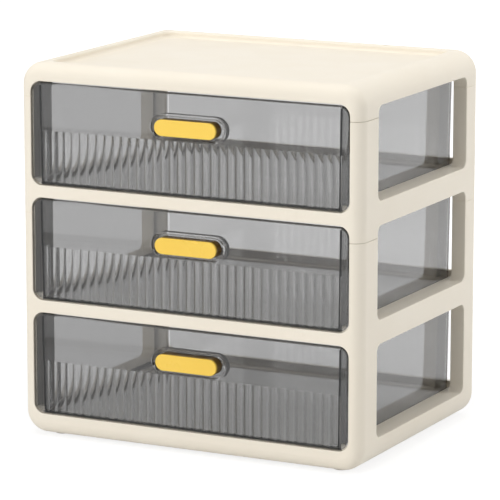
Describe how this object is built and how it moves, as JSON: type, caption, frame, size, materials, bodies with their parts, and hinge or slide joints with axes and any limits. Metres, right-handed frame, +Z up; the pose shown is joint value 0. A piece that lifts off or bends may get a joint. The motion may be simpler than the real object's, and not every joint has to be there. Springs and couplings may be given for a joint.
{
  "type": "desktop drawer cabinet",
  "caption": "Desktop cabinet with stacked see-through pull-out drawers, open side windows, pill-shaped handles and a shallow tray on top.",
  "frame": {"origin": "on the table, under the middle of the whole object with its handles, drawers shut", "axes": "+Z up, -Y towards the user, the way the drawers pull out, +X to the user's right"},
  "size_m": [0.33, 0.251, 0.3343],
  "materials": {
    "cream": "fine satin moulded surface",
    "smoke": "polished, see-through grey",
    "yellow": "smooth satin",
    "feet": "soft matt"
  },
  "bodies": {
    "cabinet": {"top_cover": "cream", "middle_frame": "cream", "base_frame": "cream", "foot_front_left": "feet", "foot_front_right": "feet", "foot_rear_left": "feet", "foot_rear_right": "feet"},
    "lower_drawer": {"lower_drawer_tub": "smoke", "lower_drawer_handle": "yellow"},
    "middle_drawer": {"middle_drawer_tub": "smoke", "middle_drawer_handle": "yellow"},
    "upper_drawer": {"upper_drawer_tub": "smoke", "upper_drawer_handle": "yellow"}
  },
  "joints": [
    {"name": "lower_drawer_slide", "type": "slide", "parent": "cabinet", "child": "lower_drawer", "axis": [0, -1, 0], "range_m": [0, 0.16]},
    {"name": "middle_drawer_slide", "type": "slide", "parent": "cabinet", "child": "middle_drawer", "axis": [0, -1, 0], "range_m": [0, 0.16]},
    {"name": "upper_drawer_slide", "type": "slide", "parent": "cabinet", "child": "upper_drawer", "axis": [0, -1, 0], "range_m": [0, 0.16]}
  ]
}
